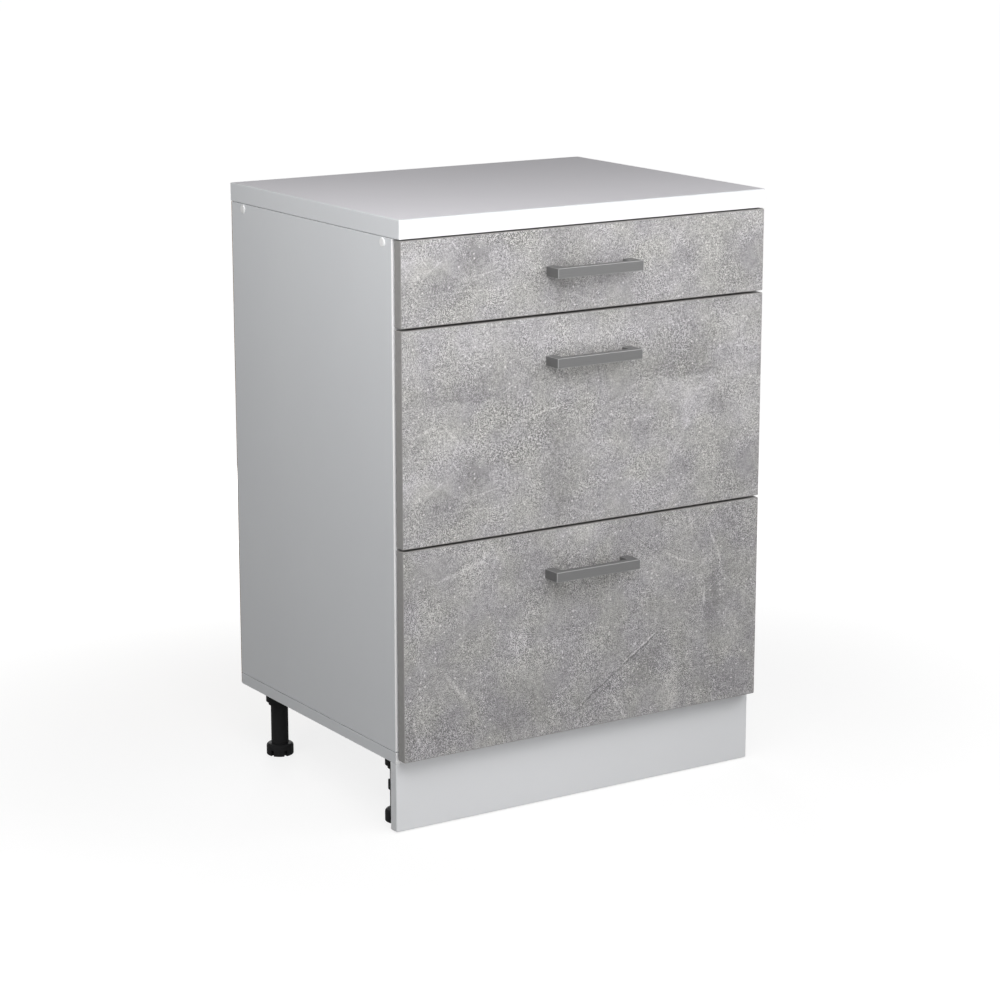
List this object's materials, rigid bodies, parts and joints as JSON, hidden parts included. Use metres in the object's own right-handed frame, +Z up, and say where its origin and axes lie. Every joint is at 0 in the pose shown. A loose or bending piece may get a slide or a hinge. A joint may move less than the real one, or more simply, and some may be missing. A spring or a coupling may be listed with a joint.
{
  "type": "drawer base cabinet",
  "caption": "Kitchen base cabinet with concrete-look drawers on ball runners, bow handles, a pale carcass and worktop, and levelling legs behind a clipped plinth.",
  "frame": {"origin": "on the floor, under the middle of the whole object with its handles", "axes": "+Z up, +Y to the back, so the drawer fronts face -Y; +X to the right seen from the front"},
  "size_m": [0.6036, 0.499, 0.846],
  "materials": {
    "worktop_laminate": "pale grey laminate on chipboard, satin",
    "carcass_board": "pale grey melamine-faced chipboard, satin",
    "front_laminate": "concrete-look laminate on chipboard, matt",
    "box_board": "white melamine-faced chipboard, satin",
    "back_board": "white-faced hardboard, smooth",
    "handle_metal": "graphite powder coat, matt",
    "leg_plastic": "moulded black plastic, satin",
    "cap_plastic": "moulded pale grey plastic, satin",
    "rail_steel": "bright zinc-plated cold-rolled steel",
    "zinc_steel": "zinc-plated steel",
    "beech_dowel": "fluted beech, bare"
  },
  "bodies": {
    "carcass": {"worktop": "worktop_laminate", "left_side_panel": "carcass_board", "right_side_panel": "carcass_board", "bottom_panel": "carcass_board", "front_top_rail": "carcass_board", "rear_top_rail": "carcass_board", "plinth": "carcass_board", "back_panel": "back_board", "back_panel_nails": "zinc_steel", "screw_caps": "cap_plastic", "carcass_screws": "zinc_steel", "carcass_dowels": "beech_dowel", "worktop_screws": "zinc_steel", "rail_screws": "zinc_steel", "plinth_clip_screws": "zinc_steel", "cabinet_rails": "rail_steel", "leg_sockets": "leg_plastic", "leg_tubes": "leg_plastic", "plinth_clips": "leg_plastic"},
    "upper_drawer": {"upper_front": "front_laminate", "upper_handle": "handle_metal", "upper_box_left_side": "box_board", "upper_box_right_side": "box_board", "upper_box_front": "box_board", "upper_box_back": "box_board", "upper_box_bottom": "back_board", "upper_drawer_rails": "rail_steel", "upper_drawer_screws": "zinc_steel"},
    "upper_sliding_rails": {"upper_sliding_rails": "rail_steel"},
    "upper_outer_ball_strips": {"upper_outer_ball_strips": "rail_steel"},
    "upper_inner_ball_strips": {"upper_inner_ball_strips": "rail_steel"},
    "middle_drawer": {"middle_front": "front_laminate", "middle_handle": "handle_metal", "middle_box_left_side": "box_board", "middle_box_right_side": "box_board", "middle_box_front": "box_board", "middle_box_back": "box_board", "middle_box_bottom": "back_board", "middle_drawer_rails": "rail_steel", "middle_drawer_screws": "zinc_steel"},
    "middle_sliding_rails": {"middle_sliding_rails": "rail_steel"},
    "middle_outer_ball_strips": {"middle_outer_ball_strips": "rail_steel"},
    "middle_inner_ball_strips": {"middle_inner_ball_strips": "rail_steel"},
    "lower_drawer": {"lower_front": "front_laminate", "lower_handle": "handle_metal", "lower_box_left_side": "box_board", "lower_box_right_side": "box_board", "lower_box_front": "box_board", "lower_box_back": "box_board", "lower_box_bottom": "back_board", "lower_drawer_rails": "rail_steel", "lower_drawer_screws": "zinc_steel"},
    "lower_sliding_rails": {"lower_sliding_rails": "rail_steel"},
    "lower_outer_ball_strips": {"lower_outer_ball_strips": "rail_steel"},
    "lower_inner_ball_strips": {"lower_inner_ball_strips": "rail_steel"},
    "front_left_foot": {"front_left_foot": "leg_plastic"},
    "front_right_foot": {"front_right_foot": "leg_plastic"},
    "rear_left_foot": {"rear_left_foot": "leg_plastic"},
    "rear_right_foot": {"rear_right_foot": "leg_plastic"}
  },
  "joints": [
    {"name": "upper_drawer_slide", "type": "slide", "parent": "carcass", "child": "upper_drawer", "axis": [0, -1, 0], "range_m": [0, 0.4]},
    {"name": "upper_sliding_rails_slide", "type": "slide", "parent": "carcass", "child": "upper_sliding_rails", "axis": [0, -1, 0], "range_m": [0, 0.2]},
    {"name": "upper_outer_ball_strips_slide", "type": "slide", "parent": "carcass", "child": "upper_outer_ball_strips", "axis": [0, -1, 0], "range_m": [0, 0.1]},
    {"name": "upper_inner_ball_strips_slide", "type": "slide", "parent": "carcass", "child": "upper_inner_ball_strips", "axis": [0, -1, 0], "range_m": [0, 0.3]},
    {"name": "middle_drawer_slide", "type": "slide", "parent": "carcass", "child": "middle_drawer", "axis": [0, -1, 0], "range_m": [0, 0.4]},
    {"name": "middle_sliding_rails_slide", "type": "slide", "parent": "carcass", "child": "middle_sliding_rails", "axis": [0, -1, 0], "range_m": [0, 0.2]},
    {"name": "middle_outer_ball_strips_slide", "type": "slide", "parent": "carcass", "child": "middle_outer_ball_strips", "axis": [0, -1, 0], "range_m": [0, 0.1]},
    {"name": "middle_inner_ball_strips_slide", "type": "slide", "parent": "carcass", "child": "middle_inner_ball_strips", "axis": [0, -1, 0], "range_m": [0, 0.3]},
    {"name": "lower_drawer_slide", "type": "slide", "parent": "carcass", "child": "lower_drawer", "axis": [0, -1, 0], "range_m": [0, 0.4]},
    {"name": "lower_sliding_rails_slide", "type": "slide", "parent": "carcass", "child": "lower_sliding_rails", "axis": [0, -1, 0], "range_m": [0, 0.2]},
    {"name": "lower_outer_ball_strips_slide", "type": "slide", "parent": "carcass", "child": "lower_outer_ball_strips", "axis": [0, -1, 0], "range_m": [0, 0.1]},
    {"name": "lower_inner_ball_strips_slide", "type": "slide", "parent": "carcass", "child": "lower_inner_ball_strips", "axis": [0, -1, 0], "range_m": [0, 0.3]},
    {"name": "front_left_foot_turn", "type": "hinge", "parent": "carcass", "child": "front_left_foot", "pos_m": [-0.267, -0.1535, 0], "axis": [0, 0, 1], "range_deg": [0, 3600]},
    {"name": "front_right_foot_turn", "type": "hinge", "parent": "carcass", "child": "front_right_foot", "pos_m": [0.267, -0.1535, 0], "axis": [0, 0, 1], "range_deg": [0, 3600]},
    {"name": "rear_left_foot_turn", "type": "hinge", "parent": "carcass", "child": "rear_left_foot", "pos_m": [-0.267, 0.1925, 0], "axis": [0, 0, 1], "range_deg": [0, 3600]},
    {"name": "rear_right_foot_turn", "type": "hinge", "parent": "carcass", "child": "rear_right_foot", "pos_m": [0.267, 0.1925, 0], "axis": [0, 0, 1], "range_deg": [0, 3600]}
  ],
  "couplings": [
    {"joint": "upper_sliding_rails_slide", "follows": "upper_drawer_slide", "ratio": 0.5},
    {"joint": "upper_outer_ball_strips_slide", "follows": "upper_drawer_slide", "ratio": 0.25},
    {"joint": "upper_inner_ball_strips_slide", "follows": "upper_drawer_slide", "ratio": 0.75},
    {"joint": "middle_sliding_rails_slide", "follows": "middle_drawer_slide", "ratio": 0.5},
    {"joint": "middle_outer_ball_strips_slide", "follows": "middle_drawer_slide", "ratio": 0.25},
    {"joint": "middle_inner_ball_strips_slide", "follows": "middle_drawer_slide", "ratio": 0.75},
    {"joint": "lower_sliding_rails_slide", "follows": "lower_drawer_slide", "ratio": 0.5},
    {"joint": "lower_outer_ball_strips_slide", "follows": "lower_drawer_slide", "ratio": 0.25},
    {"joint": "lower_inner_ball_strips_slide", "follows": "lower_drawer_slide", "ratio": 0.75}
  ]
}
